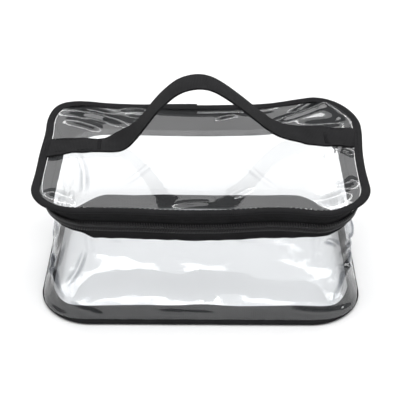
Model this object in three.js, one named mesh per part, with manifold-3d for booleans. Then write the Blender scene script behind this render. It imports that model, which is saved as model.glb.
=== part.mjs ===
// Clear makeup bag with a zipped lid and a webbing handle, in millimetres, +Z up. The origin is the
// middle of the base. X runs along the bag's length, and the front, where the zip runs, is at -Y.

import * as THREE from 'three';
import { mergeVertices } from 'three/addons/utils/BufferGeometryUtils.js';
import Module from 'manifold-3d';

const wasm = await Module();
wasm.setup();

// Driving dimensions: the tub's outer outline at each height where its slope changes.
const TUB_OUTLINES = [
  { z: 0, length: 220, depth: 143, corner: 36 },
  { z: 2, length: 220, depth: 143, corner: 36 },
  { z: 8, length: 216, depth: 141, corner: 34 },
  { z: 20, length: 206, depth: 136, corner: 32 },
  { z: 40, length: 198, depth: 132, corner: 30 },
  { z: 66, length: 194, depth: 130, corner: 28 },
  { z: 87, length: 206, depth: 135, corner: 29 },
];
const LID_OUTLINE = { length: 219, depth: 140, corner: 32 };

// Sheets, tapes and the gap between pieces that lie against each other.
const SHEET = 0.8;
const TAPE = 0.8;
const GAP = 0.3;

// Wall and base.
const WALL_TOP = 69;
const BASE_BINDING_TOP = 13;
const BASE_BINDING_THICKNESS = 1.5;

// Zip: two tapes that meet at the split, with a coil row sewn on the face of each.
const BAND_BOTTOM = 66;
const BAND_TOP = 86.4;
const SPLIT_HEIGHT = 76.8;
const SPLIT_HALF_GAP = 0.7;
const COIL_HEIGHT = 2.9;
const COIL_THICKNESS = 2;
const TAPE_END_Y = 42;
const COIL_END_Y = 37.5;
const STOP_LENGTH = 2.5;
const BAND_LEAN = Math.atan((206 - 194) / 2 / (87 - 66));

// Lid: the clear panel's edge sits in the slot of a folded binding.
const LID_TOP = 92;
const LID_BOTTOM = 86.9;
const BINDING_WIDTH = 6;
const BINDING_LEAF = 1.1;
const LID_PANEL_Z = 89.2;

// Handle: one webbing strap, sewn down at both ends, which lifts off the lid at its two swing points.
const HANDLE_Y = 14.5;
const HANDLE_SKEW = Math.atan(13 / 208);
const WEBBING_WIDTH = 20;
const WEBBING_THICKNESS = 1.6;
const SWING_HEIGHT = 97;
const SWING_LEFT = -50.5;
const SWING_RIGHT = 60;
const STRAP_END = 102.4;
const STRAP_Z = LID_PANEL_Z + SHEET + GAP + WEBBING_THICKNESS / 2;
const NECK_HALF_WIDTH = 5.5;
const NECK_GROWTH = 0.7;
const BARTACK_LEFT = -68;
const BARTACK_RIGHT = 86;
const BARTACK = { length: 2.4, width: 16, height: 0.5 };

// Slider: its middle at rest, its plates on both faces of the zip, and the bridge that holds the pull.
const SLIDER_Y = 31;
const SLIDER = { length: 11, height: 8.6, corner: 2 };
const INNER_PLATE = { from: -1.7, to: -0.7 };
const OUTER_PLATE = { from: 3.8, to: 4.9 };
const POST = { length: 4, height: 0.8 };
const BRIDGE_BAR_OUT = 7.4;
const BRIDGE_BAR_RADIUS = 0.55;
const BRIDGE_LEG_Y = 4;
const BRIDGE_LEG = 1.1;

// Pull: a wire link round the bridge bar, and a tag on the link.
const LINK = { outer: 2, inner: 1.1, drop: 5, wire: 1 };
const TAG = { top: 2.5, bottom: 3.5, from: -4.2, to: -27, thickness: 1.4 };
const TAG_HOLE = { z: -6.5, radius: 1.1 };

// How finely round shapes are stepped.
const QUARTER_STEPS = 14;
const STRAIGHT_SHARE = 1 / 7;
const LATHE_RADIUS = 100;
const CORNER_SEGMENTS = 12;
const STRAP_STEPS = 60;
const FAR = 400;

const COLOURS = {
  vinyl: { color: 0xeef1f3, roughness: 0.08, metalness: 0 },
  tape: { color: 0x333336, roughness: 0.85, metalness: 0 },
  coil: { color: 0x26262a, roughness: 0.5, metalness: 0 },
  webbing: { color: 0x38383c, roughness: 0.9, metalness: 0 },
  thread: { color: 0x2b2b2e, roughness: 0.8, metalness: 0 },
  metal: { color: 0x55565a, roughness: 0.35, metalness: 0.9 },
};

const bag = new THREE.Group();

function addPiece(parent, name, geometry, finish) {
  const mesh = new THREE.Mesh(geometry, new THREE.MeshStandardMaterial(COLOURS[finish]));
  mesh.name = name;
  parent.add(mesh);
}

// Booleans.

function toSolid(geometry) {
  const bare = geometry.clone();
  bare.deleteAttribute('normal');
  bare.deleteAttribute('uv');
  const merged = mergeVertices(bare);
  return new wasm.Manifold(new wasm.Mesh({
    numProp: 3,
    vertProperties: new Float32Array(merged.attributes.position.array),
    triVerts: new Uint32Array(merged.index.array),
  }));
}

function fromSolid(solid) {
  const mesh = solid.getMesh();
  const geometry = new THREE.BufferGeometry();
  geometry.setAttribute('position', new THREE.BufferAttribute(mesh.vertProperties, 3));
  geometry.setIndex(new THREE.BufferAttribute(mesh.triVerts, 1));
  return geometry;
}

function join(geometries) {
  const solids = geometries.map(toSolid);
  return fromSolid(solids.reduce((whole, solid) => whole.add(solid)));
}

function keepWithin(geometry, low, high) {
  const size = high.clone().sub(low);
  const middle = low.clone().add(high).multiplyScalar(0.5);
  const box = new THREE.BoxGeometry(size.x, size.y, size.z).translate(middle.x, middle.y, middle.z);
  return fromSolid(toSolid(geometry).intersect(toSolid(box)));
}

function keepForwardOf(y, geometry) {
  return keepWithin(geometry, new THREE.Vector3(-FAR, -FAR, -FAR), new THREE.Vector3(FAR, y, FAR));
}

function keepBehind(y, geometry) {
  return keepWithin(geometry, new THREE.Vector3(-FAR, y, -FAR), new THREE.Vector3(FAR, FAR, FAR));
}

// Outlines: rounded rectangles, measured round from +X.

function tubOutline(z) {
  const above = TUB_OUTLINES.find((outline) => outline.z > z) ?? TUB_OUTLINES.at(-1);
  const below = TUB_OUTLINES[TUB_OUTLINES.indexOf(above) - 1];
  const share = (z - below.z) / (above.z - below.z);
  return {
    length: THREE.MathUtils.lerp(below.length, above.length, share),
    depth: THREE.MathUtils.lerp(below.depth, above.depth, share),
    corner: THREE.MathUtils.lerp(below.corner, above.corner, share),
  };
}

function lidOutline() {
  return LID_OUTLINE;
}

function outlinePoint(outline, turn, offset) {
  const quarter = Math.floor(turn * 4) % 4;
  const along = turn * 4 - quarter;
  const bend = THREE.MathUtils.clamp((along - STRAIGHT_SHARE) / (1 - 2 * STRAIGHT_SHARE), 0, 1);
  const angle = (quarter + bend) * Math.PI / 2;
  const leaving = THREE.MathUtils.clamp(along / STRAIGHT_SHARE, 0, 1);
  const arriving = THREE.MathUtils.clamp((1 - along) / STRAIGHT_SHARE, 0, 1);
  const fromSide = quarter % 2 === 0;
  const centreX = (outline.length / 2 - outline.corner) * (fromSide ? arriving : leaving);
  const centreY = (outline.depth / 2 - outline.corner) * (fromSide ? leaving : arriving);
  const signX = quarter === 0 || quarter === 3 ? 1 : -1;
  const signY = quarter < 2 ? 1 : -1;
  const radius = outline.corner + offset;
  return {
    x: signX * centreX + radius * Math.cos(angle),
    y: signY * centreY + radius * Math.sin(angle),
  };
}

// A closed ring round the bag: a lathe turned from the section, then moved out to the outline.
// The section is a list of [offset from the outline, height], anticlockwise.
function ring(section, outlineAt) {
  const steps = QUARTER_STEPS * 4;
  const closed = [...section, section[0]];
  const points = closed.map(([offset, z]) => new THREE.Vector2(LATHE_RADIUS + offset, z));
  const geometry = new THREE.LatheGeometry(points, steps);
  const position = geometry.attributes.position;
  for (let i = 0; i < position.count; i += 1) {
    const ahead = position.getZ(i);
    const aside = position.getX(i);
    const z = position.getY(i);
    const step = Math.round(Math.atan2(aside, ahead) / (2 * Math.PI) * steps);
    const turn = ((step + steps) % steps) / steps;
    const point = outlinePoint(outlineAt(z), turn, Math.hypot(aside, ahead) - LATHE_RADIUS);
    position.setXYZ(i, point.x, point.y, z);
  }
  return geometry;
}

// A band that follows the tub's skin from one height to another.
function sleeve(bottom, top, inner, outer) {
  const bends = TUB_OUTLINES.map((outline) => outline.z).filter((z) => z > bottom && z < top);
  const heights = [bottom, ...bends, top];
  const outside = heights.map((z) => [outer, z]);
  const inside = heights.map((z) => [inner, z]).reverse();
  return ring([...outside, ...inside], tubOutline);
}

function roundedShape(length, depth, corner) {
  const x = length / 2 - corner;
  const y = depth / 2 - corner;
  const shape = new THREE.Shape();
  shape.absarc(x, y, corner, 0, Math.PI / 2);
  shape.absarc(-x, y, corner, Math.PI / 2, Math.PI);
  shape.absarc(-x, -y, corner, Math.PI, Math.PI * 1.5);
  shape.absarc(x, -y, corner, Math.PI * 1.5, Math.PI * 2);
  return shape;
}

function plate(shape, thickness) {
  return new THREE.ExtrudeGeometry(shape, {
    depth: thickness,
    bevelEnabled: false,
    curveSegments: CORNER_SEGMENTS,
  });
}

// The tub: clear base and wall, with the base seam bound in tape on the inside.

function addTub() {
  const base = TUB_OUTLINES[0];
  addPiece(bag, 'bottom_panel', plate(roundedShape(base.length, base.depth, base.corner), SHEET), 'vinyl');
  const wallBottom = SHEET + GAP;
  addPiece(bag, 'wall_panel', sleeve(wallBottom, WALL_TOP, -SHEET, 0), 'vinyl');
  const bindingOuter = -SHEET - GAP;
  const bindingInner = bindingOuter - BASE_BINDING_THICKNESS;
  addPiece(bag, 'base_binding', sleeve(wallBottom, BASE_BINDING_TOP, bindingInner, bindingOuter), 'tape');
}

// The zip runs along the front and both sides; a plain band of the same height crosses the back.

function addZip() {
  const tapeInner = GAP;
  const tapeOuter = GAP + TAPE;
  const coilInner = tapeOuter + GAP;
  const coilOuter = coilInner + COIL_THICKNESS;
  const lowerEdge = SPLIT_HEIGHT - SPLIT_HALF_GAP;
  const upperEdge = SPLIT_HEIGHT + SPLIT_HALF_GAP;
  const lowerTape = sleeve(BAND_BOTTOM, lowerEdge, tapeInner, tapeOuter);
  const upperTape = sleeve(upperEdge, BAND_TOP, tapeInner, tapeOuter);
  const lowerCoil = sleeve(lowerEdge - COIL_HEIGHT, lowerEdge, coilInner, coilOuter);
  const upperCoil = sleeve(upperEdge, upperEdge + COIL_HEIGHT, coilInner, coilOuter);
  const hingeBand = sleeve(BAND_BOTTOM, BAND_TOP, tapeInner, tapeOuter);
  addPiece(bag, 'lower_zip_tape', keepForwardOf(TAPE_END_Y, lowerTape), 'tape');
  addPiece(bag, 'upper_zip_tape', keepForwardOf(TAPE_END_Y, upperTape), 'tape');
  addPiece(bag, 'lower_zip_coil', keepForwardOf(COIL_END_Y, lowerCoil), 'coil');
  addPiece(bag, 'upper_zip_coil', keepForwardOf(COIL_END_Y, upperCoil), 'coil');
  addPiece(bag, 'hinge_band', keepBehind(TAPE_END_Y + GAP, hingeBand), 'tape');
}

// A group on the side of the zip band: local +X is out of the band, and local Z runs up it.
function sideGroup(side, y, height) {
  const group = new THREE.Group();
  group.position.set(side * tubOutline(height).length / 2, y, height);
  group.rotation.y = side > 0 ? BAND_LEAN : Math.PI - BAND_LEAN;
  bag.add(group);
  return group;
}

function addStop(name, side, height, tall) {
  const outer = GAP + TAPE + GAP;
  const group = sideGroup(side, COIL_END_Y + GAP + STOP_LENGTH / 2, height);
  const block = new THREE.BoxGeometry(COIL_THICKNESS, STOP_LENGTH, tall);
  addPiece(group, name, block.translate(outer + COIL_THICKNESS / 2, 0, 0), 'metal');
}

function addStops() {
  const rowMiddle = SPLIT_HALF_GAP + COIL_HEIGHT / 2;
  addStop('zip_top_stop_lower', 1, SPLIT_HEIGHT - rowMiddle, COIL_HEIGHT);
  addStop('zip_top_stop_upper', 1, SPLIT_HEIGHT + rowMiddle, COIL_HEIGHT);
  addStop('zip_bottom_stop', -1, SPLIT_HEIGHT, 2 * (SPLIT_HALF_GAP + COIL_HEIGHT));
}

// The lid: a clear panel in a folded binding.

function addLid() {
  const floor = LID_BOTTOM + BINDING_LEAF;
  const ceiling = LID_TOP - BINDING_LEAF;
  const fold = [
    [-BINDING_WIDTH, LID_BOTTOM],
    [-GAP, LID_BOTTOM],
    [0, LID_BOTTOM + GAP],
    [0, LID_TOP - 1.5],
    [-1.5, LID_TOP],
    [-BINDING_WIDTH, LID_TOP],
    [-BINDING_WIDTH, ceiling],
    [-BINDING_LEAF, ceiling],
    [-BINDING_LEAF, floor],
    [-BINDING_WIDTH, floor],
  ];
  addPiece(bag, 'lid_binding', ring(fold, lidOutline), 'tape');
  const inset = BINDING_LEAF + GAP;
  const shape = roundedShape(
    LID_OUTLINE.length - 2 * inset,
    LID_OUTLINE.depth - 2 * inset,
    LID_OUTLINE.corner - inset,
  );
  addPiece(bag, 'lid_panel', plate(shape, SHEET).translate(0, 0, LID_PANEL_Z), 'vinyl');
}

// The handle's middle line, along the strap and up.
function strapLine() {
  return new THREE.SplineCurve([
    new THREE.Vector2(-STRAP_END, STRAP_Z),
    new THREE.Vector2(-66, STRAP_Z),
    new THREE.Vector2(-58, 92.4),
    new THREE.Vector2(SWING_LEFT, SWING_HEIGHT),
    new THREE.Vector2(-38, 111),
    new THREE.Vector2(-24, 128),
    new THREE.Vector2(-4, 138.5),
    new THREE.Vector2(16, 131),
    new THREE.Vector2(37, 113),
    new THREE.Vector2(SWING_RIGHT, SWING_HEIGHT),
    new THREE.Vector2(71, 92.6),
    new THREE.Vector2(80, STRAP_Z),
    new THREE.Vector2(STRAP_END, STRAP_Z),
  ]);
}

// The whole strap, lying over its middle line, with its width along Y.
function strap() {
  const line = strapLine();
  const over = [];
  const under = [];
  for (let i = 0; i <= STRAP_STEPS; i += 1) {
    const share = i / STRAP_STEPS;
    const point = line.getPointAt(share);
    const tangent = line.getTangentAt(share);
    const across = new THREE.Vector2(-tangent.y, tangent.x).multiplyScalar(WEBBING_THICKNESS / 2);
    over.push(point.clone().add(across));
    under.push(point.clone().sub(across));
  }
  const shape = new THREE.Shape([...under, ...over.reverse()]);
  return plate(shape, WEBBING_WIDTH).rotateX(Math.PI / 2).translate(0, WEBBING_WIDTH / 2, 0);
}

function strapBetween(from, to) {
  return keepWithin(strap(), new THREE.Vector3(from, -FAR, 0), new THREE.Vector3(to, FAR, FAR));
}

// The loop is drawn in above its swing points, so that it clears the lid when it swings.
function neckIn(geometry) {
  const position = geometry.attributes.position;
  for (let i = 0; i < position.count; i += 1) {
    const rise = Math.max(position.getZ(i) - SWING_HEIGHT, 0);
    const halfWidth = Math.min(NECK_HALF_WIDTH + NECK_GROWTH * rise, WEBBING_WIDTH / 2);
    position.setY(i, position.getY(i) * halfWidth / (WEBBING_WIDTH / 2));
  }
  return geometry;
}

function addBartack(group, name, along) {
  const block = new THREE.BoxGeometry(BARTACK.length, BARTACK.width, BARTACK.height);
  const height = STRAP_Z + WEBBING_THICKNESS / 2 + GAP + BARTACK.height / 2;
  addPiece(group, name, block.translate(along, 0, height), 'thread');
}

function addHandle() {
  const group = new THREE.Group();
  group.position.y = HANDLE_Y;
  group.rotation.z = HANDLE_SKEW;
  bag.add(group);
  const half = GAP / 2;
  addPiece(group, 'handle_left_end', strapBetween(-FAR, SWING_LEFT - half), 'webbing');
  addPiece(group, 'handle_right_end', strapBetween(SWING_RIGHT + half, FAR), 'webbing');
  const loop = strapBetween(SWING_LEFT + half, SWING_RIGHT - half);
  addPiece(group, 'handle_loop', neckIn(loop), 'webbing');
  addBartack(group, 'handle_bartack_left', BARTACK_LEFT);
  addBartack(group, 'handle_bartack_right', BARTACK_RIGHT);
}

// The slider and its pull, on the right side at the zip's rear end.

function sliderPlate(range) {
  const shape = roundedShape(SLIDER.height, SLIDER.length, SLIDER.corner);
  return plate(shape, range.to - range.from).rotateY(Math.PI / 2).translate(range.from, 0, 0);
}

function bridgeLeg(y) {
  const reach = BRIDGE_BAR_OUT + BRIDGE_LEG / 2 - OUTER_PLATE.from;
  const leg = new THREE.BoxGeometry(reach, BRIDGE_LEG, BRIDGE_LEG);
  return leg.translate(BRIDGE_BAR_OUT + BRIDGE_LEG / 2 - reach / 2, y, 0);
}

// The post lies level, because the split between the two rows does.
function addSlider() {
  const group = sideGroup(1, SLIDER_Y, SPLIT_HEIGHT);
  const postReach = OUTER_PLATE.to - INNER_PLATE.from;
  const post = new THREE.BoxGeometry(postReach, POST.length, POST.height);
  const bar = new THREE.CylinderGeometry(BRIDGE_BAR_RADIUS, BRIDGE_BAR_RADIUS, 2 * BRIDGE_LEG_Y, 12);
  const body = join([
    sliderPlate(INNER_PLATE),
    sliderPlate(OUTER_PLATE),
    post.translate(INNER_PLATE.from + postReach / 2, 0, 0).rotateY(-BAND_LEAN),
    bar.translate(BRIDGE_BAR_OUT, 0, 0),
    bridgeLeg(BRIDGE_LEG_Y),
    bridgeLeg(-BRIDGE_LEG_Y),
  ]);
  addPiece(group, 'slider_body', body, 'metal');
}

function linkShape() {
  const shape = new THREE.Shape();
  shape.absarc(0, 0, LINK.outer, 0, Math.PI);
  shape.absarc(0, -LINK.drop, LINK.outer, Math.PI, Math.PI * 2);
  const hole = new THREE.Path();
  hole.absarc(0, 0, LINK.inner, 0, Math.PI);
  hole.absarc(0, -LINK.drop, LINK.inner, Math.PI, Math.PI * 2);
  shape.holes.push(hole);
  return shape;
}

function tagShape() {
  const shape = new THREE.Shape();
  shape.moveTo(-TAG.top, TAG.from);
  shape.lineTo(-TAG.bottom, TAG.to + TAG.bottom);
  shape.absarc(0, TAG.to + TAG.bottom, TAG.bottom, Math.PI, Math.PI * 2);
  shape.lineTo(TAG.top, TAG.from);
  const hole = new THREE.Path();
  hole.absarc(0, TAG_HOLE.z, TAG_HOLE.radius, 0, Math.PI * 2);
  shape.holes.push(hole);
  return shape;
}

function addPull() {
  const group = new THREE.Group();
  const bandX = tubOutline(SPLIT_HEIGHT).length / 2;
  group.position.set(
    bandX + BRIDGE_BAR_OUT * Math.cos(BAND_LEAN),
    SLIDER_Y,
    SPLIT_HEIGHT - BRIDGE_BAR_OUT * Math.sin(BAND_LEAN),
  );
  bag.add(group);
  const link = plate(linkShape(), LINK.wire).rotateX(Math.PI / 2).translate(0, LINK.wire / 2, 0);
  addPiece(group, 'pull_link', link, 'metal');
  const tag = plate(tagShape(), TAG.thickness).rotateX(Math.PI / 2).rotateZ(Math.PI / 2);
  addPiece(group, 'pull_tab', tag.translate(-TAG.thickness / 2, 0, 0), 'metal');
}

addTub();
addZip();
addStops();
addLid();
addHandle();
addSlider();
addPull();

export default bag;
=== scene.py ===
import math
from collections import namedtuple

import bpy
import numpy as np
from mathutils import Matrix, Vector


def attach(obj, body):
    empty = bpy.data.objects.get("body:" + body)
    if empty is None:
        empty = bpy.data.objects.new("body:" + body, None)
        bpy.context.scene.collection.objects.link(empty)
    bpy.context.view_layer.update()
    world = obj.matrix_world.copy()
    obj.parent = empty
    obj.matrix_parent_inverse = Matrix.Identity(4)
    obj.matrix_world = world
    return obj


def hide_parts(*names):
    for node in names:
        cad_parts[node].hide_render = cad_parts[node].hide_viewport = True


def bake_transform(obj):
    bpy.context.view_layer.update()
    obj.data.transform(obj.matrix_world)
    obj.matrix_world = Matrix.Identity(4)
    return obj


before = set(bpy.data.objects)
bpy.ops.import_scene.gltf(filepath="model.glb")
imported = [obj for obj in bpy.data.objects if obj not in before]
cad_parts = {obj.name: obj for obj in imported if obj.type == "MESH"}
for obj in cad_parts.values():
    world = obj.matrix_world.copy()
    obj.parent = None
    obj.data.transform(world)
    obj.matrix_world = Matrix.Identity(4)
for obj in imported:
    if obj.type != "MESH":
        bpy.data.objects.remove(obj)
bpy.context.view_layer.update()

# The bag's visual model, made in millimetres about the row frame and scaled to metres in mesh_object.
# The front, where the zip runs, is at -Y. Angles round the bag are shares of a lap, anticlockwise from
# the middle of the right side.
MM = 0.001
FRONT = 0.75
BACK = 0.25

# Heights and layers of the bag's skin, close to the CAD's. Offsets are measured out from its outline.
ZIP_SPLIT = 76.8
HINGE_LINE = 86.6
BAND_HEAD = 88.3
TAPE_MIDDLE = 0.7
TAPE_FACE = 1.1
TAPE_THICKNESS = 0.7
VINYL_THICKNESS = 0.5
LID_VINYL_Z = 89.6
BASE_INSET = 4.6
SEAM_TOP = 3.6
SEAM_TAPE_TOP = 12
WALL_OFFSET = -0.45
ZIP_END_Y = 37.5
TAPE_END_Y = 42

# Zip: half the gap between its tapes, and its coil.
TAPE_GAP = 0.45
TOOTH_PITCH = 1.6

# Sewing.
STITCH_PITCH = 3.0

# Handle.
HANDLE_Y = 14.5
HANDLE_SKEW = math.atan(13 / 208)
WEBBING_WIDTH = 20
WEBBING_THICKNESS = 1.4
CROWN_X = 4
STRAP_LIE = 91.1


# ---------------------------------------------------------------- small maths


def smooth(value):
    value = np.clip(value, 0, 1)
    return value * value * (3 - 2 * value)


def hill(value, centre, width):
    return np.exp(-(((value - centre) / width) ** 2))


def ripple(value, periods, seed):
    """An uneven wave about zero, made of a few sines of the given periods."""
    phases = np.random.default_rng(seed).uniform(0, 2 * math.pi, len(periods))
    waves = [np.sin(2 * math.pi * value / period + phase) for period, phase in zip(periods, phases)]
    return sum(waves) / len(periods)


def crumple(u, v, size, seed):
    """An uneven surface about zero whose bumps are roughly size across."""
    draw = np.random.default_rng(seed)
    waves = 6
    total = 0
    for _ in range(waves):
        heading = draw.uniform(0, 2 * math.pi)
        period = size * draw.uniform(0.7, 1.8)
        along = u * math.cos(heading) + v * math.sin(heading)
        total = total + np.sin(2 * math.pi * along / period + draw.uniform(0, 2 * math.pi))
    return total / waves


# A fold pressed into a sheet: a ridge from start to end that bows to one side, or a valley if its height is
# below zero.
Crease = namedtuple("Crease", "start end bow width height")


def creased(u, v, creases):
    total = 0
    for crease in creases:
        (u0, v0), (u1, v1) = crease.start, crease.end
        length = math.hypot(u1 - u0, v1 - v0)
        ahead = ((u - u0) * (u1 - u0) + (v - v0) * (v1 - v0)) / length**2
        aside = ((v - v0) * (u1 - u0) - (u - u0) * (v1 - v0)) / length
        across = hill(aside - crease.bow * 4 * ahead * (1 - ahead), 0, crease.width)
        total = total + crease.height * across * smooth(ahead / 0.35) * smooth((1 - ahead) / 0.35)
    return total


# ---------------------------------------------------------------- outlines, measured from the CAD


def vertices_of(name):
    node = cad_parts[name]
    local = np.array([vertex.co for vertex in node.data.vertices])
    world = np.array(node.matrix_world)
    return (local @ world[:3, :3].T + world[:3, 3]) / MM


def outline_of(points):
    """Half length, half depth and corner radius of a rounded rectangle."""
    half_length = np.abs(points[:, 0]).max()
    half_depth = -points[:, 1].min()
    diagonal = (points[:, 0] - points[:, 1]).max()
    corner = (half_length + half_depth - diagonal) / (2 - math.sqrt(2))
    return np.array([half_length, half_depth, corner])


def outline_at(points, height):
    return outline_of(points[np.abs(points[:, 2] - height) < 0.01])


def measure_tub():
    """The tub's outline every half millimetre up, with the bends between the CAD's levels eased."""
    wall = vertices_of("wall_panel")
    tape = vertices_of("lower_zip_tape")
    head = vertices_of("upper_zip_tape")
    levels = sorted(set(np.round(wall[:, 2], 2)))
    outlines = [outline_at(wall, level) for level in levels]
    foot = tape[:, 2].min()
    stand_off = outline_at(tape, foot) - outline_at(wall, foot)
    levels.append(head[:, 2].max())
    outlines.append(outline_at(head, levels[-1]) - stand_off)
    heights = np.arange(-20, 110, 0.5)
    table = np.stack([np.interp(heights, levels, column) for column in np.array(outlines).T], axis=1)
    kernel = hill(np.arange(-16, 17), 0, 6)
    kernel /= kernel.sum()
    eased = np.stack([np.convolve(column, kernel, "same") for column in table.T], axis=1)
    return heights[16:-16], eased[16:-16]


TUB_HEIGHTS, TUB_TABLE = measure_tub()
LID_OUTLINE = outline_of(vertices_of("lid_binding"))


def tub_outline(z):
    return tuple(np.interp(z, TUB_HEIGHTS, column) for column in TUB_TABLE.T)


ZIP_OUTLINE = tub_outline(ZIP_SPLIT)
BAND_LEAN = math.atan((tub_outline(86)[0] - tub_outline(68)[0]) / 18)

# ---------------------------------------------------------------- going round the bag

Lap = namedtuple("Lap", "turn distance cos sin share_x share_y")


def lap_marks():
    half_length, half_depth, corner = ZIP_OUTLINE
    side = half_depth - corner
    front = 2 * (half_length - corner)
    arc = corner * math.pi / 2
    return np.cumsum([0, side, arc, front, arc, 2 * side, arc, front, arc, side])


MARKS = lap_marks()
PERIMETER = MARKS[-1]


def lap(turns):
    """Where each turn lies on a rounded rectangle, as columns, evenly spaced along the zip's outline."""
    turns = np.asarray(turns, float).reshape(-1, 1)
    distance = (turns % 1) * PERIMETER
    angle = np.interp(distance, MARKS, np.radians([0, 0, 90, 90, 180, 180, 270, 270, 360, 360]))
    share_x = np.interp(distance, MARKS, [1, 1, 1, -1, -1, -1, -1, 1, 1, 1])
    share_y = np.interp(distance, MARKS, [0, 1, 1, 1, 1, -1, -1, -1, -1, 0])
    return Lap(turns, turns * PERIMETER, np.cos(angle), np.sin(angle), share_x, share_y)


def from_front(course):
    """Distance along the skin from the middle of the front, to the right if above zero."""
    return ((course.turn - FRONT + 0.5) % 1 - 0.5) * PERIMETER


def side_turn(y):
    """The turn at which the right side reaches y."""
    return y / PERIMETER


def sway(points):
    """The bag has slumped: its rim dips and lifts, and the lid's back corners stand out past the tub."""
    x, y, z = points[..., 0], points[..., 1], points[..., 2]
    half_length, half_depth, corner = LID_OUTLINE
    front = 1.3 + 0.8 * hill(x, 44, 18) - 1.9 * hill(x, -2, 34) - 1.8 * hill(x, 80, 15)
    back = 4.8 * hill(x, 80, 25) - 0.4 * hill(x, -4, 30) + 0.4 * hill(x, -78, 24)
    peaks = 4.8 * hill(x, 101, 17) + 2.6 * hill(x, -98, 20)
    toward_front = np.clip(0.5 - y / (2 * half_depth), 0, 1) ** 1.5
    toward_back = np.clip(0.5 + y / (2 * half_depth), 0, 1) ** 1.5
    off_sides = 1 - smooth((np.abs(x) - half_length + corner) / corner)
    up_high = smooth((z - 24) / 42)
    at_rim = smooth((z - 80) / 8)
    lift = (front * toward_front + back * toward_back) * off_sides * up_high
    lift = lift + peaks * toward_back**4 * at_rim
    left_corner = 4.6 * hill(x, -100, 15) * hill(y, 62, 18) * at_rim
    right_corner = 2.2 * hill(x, 100, 20) * hill(y, 60, 22) * at_rim
    right_rim = 3.0 * hill(x, 108, 14) * hill(y, 32, 24) * at_rim
    draw = 0.6 * hill(x, -4, 34) * toward_back * off_sides * up_high
    x = x - left_corner + right_corner + right_rim
    y = y + left_corner + right_corner - draw
    return np.stack([x, y, z + lift], axis=-1)


def skin(course, outline, offset, z):
    """Points that far out from a rounded outline, at those heights."""
    half_length, half_depth, corner = outline
    x = (half_length - corner) * course.share_x + (corner + offset) * course.cos
    y = (half_depth - corner) * course.share_y + (corner + offset) * course.sin
    return sway(np.stack(np.broadcast_arrays(x, y, z), axis=-1))


def at_front(course):
    """1 along the front, 0 along the sides and the back."""
    return np.clip(-course.sin, 0, 1) ** 2


def pinch(course, z):
    """The tub is drawn in at its front corners, just under the lid."""
    distance = from_front(course)
    return (3.0 * hill(distance, -96, 20) + 1.2 * hill(distance, 96, 20)) * smooth((z - 44) / 20)


def tub_skin(course, offset, z):
    return skin(course, tub_outline(z), offset - pinch(course, z), z)


def split_height(course):
    """The zip's split, which rides a little higher along the front."""
    return ZIP_SPLIT + 1.3 * at_front(course)


# ---------------------------------------------------------------- meshes


def mesh_object(name, vertices, faces, uvs, material, sharp=50):
    mesh = bpy.data.meshes.new(name)
    mesh.from_pydata((np.asarray(vertices) * MM).tolist(), [], faces)
    if uvs is not None:
        layer = mesh.uv_layers.new(name="UVMap")
        layer.data.foreach_set("uv", (np.asarray(uvs) * MM).ravel())
    mesh.materials.append(material)
    mesh.shade_smooth()
    mesh.set_sharp_from_angle(angle=math.radians(sharp))
    thing = bpy.data.objects.new(name, mesh)
    bpy.context.scene.collection.objects.link(thing)
    return thing


def running_length(points, closed):
    """Length so far down the first axis, averaged over the second."""
    ahead = np.concatenate([points[1:], points[:1]]) if closed else points[1:]
    steps = np.linalg.norm(ahead - points[: len(ahead)], axis=-1).mean(axis=1)
    return np.concatenate([[0], np.cumsum(steps)])


def sheet_normals(points, closed):
    if closed:
        along = np.roll(points, -1, axis=0) - np.roll(points, 1, axis=0)
    else:
        along = np.gradient(points, axis=0)
    normals = np.cross(along, np.gradient(points, axis=1))
    return normals / np.linalg.norm(normals, axis=-1, keepdims=True)


def quads(rows, columns):
    """The corners of a grid's quads, as a row number and a column number each."""
    row, column = np.meshgrid(np.arange(rows), np.arange(columns), indexing="ij")
    row, column = row.reshape(-1, 1), column.reshape(-1, 1)
    return row + [0, 1, 1, 0], column + [0, 0, 1, 1]


def shell(name, points, thickness, material, closed=False):
    """A thin closed sheet about a grid of points. closed joins the last row to the first."""
    rows, columns = points.shape[:2]
    normals = sheet_normals(points, closed) * thickness / 2
    vertices = np.concatenate([(points + normals).reshape(-1, 3), (points - normals).reshape(-1, 3)])
    spans = rows if closed else rows - 1
    row, column = quads(spans, columns - 1)
    edge_row = np.arange(spans).reshape(-1, 1)
    edge_column = np.arange(columns - 1).reshape(-1, 1)
    last = columns - 1
    # Each group: row numbers, column numbers, and the side of the sheet, of its quads' corners.
    groups = [
        (row, column, [0, 0, 0, 0]),
        (row[:, ::-1], column[:, ::-1], [1, 1, 1, 1]),
        (edge_row + [0, 0, 1, 1], edge_row * 0 + [0, 0, 0, 0], [0, 1, 1, 0]),
        (edge_row + [0, 1, 1, 0], edge_row * 0 + [last] * 4, [0, 0, 1, 1]),
    ]
    if not closed:
        end = rows - 1
        groups.append((edge_column * 0 + [0] * 4, edge_column + [0, 1, 1, 0], [0, 0, 1, 1]))
        groups.append((edge_column * 0 + [end] * 4, edge_column + [0, 0, 1, 1], [0, 1, 1, 0]))
    u = running_length(points, closed)
    v = running_length(points.swapaxes(0, 1), False)
    faces = []
    uvs = []
    for group_row, group_column, side in groups:
        index = (group_row % rows) * columns + group_column + np.array(side) * rows * columns
        faces += index.tolist()
        uvs.append(np.stack([u[group_row], v[group_column]], axis=-1).reshape(-1, 2))
    return mesh_object(name, vertices, faces, np.concatenate(uvs), material)


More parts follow.
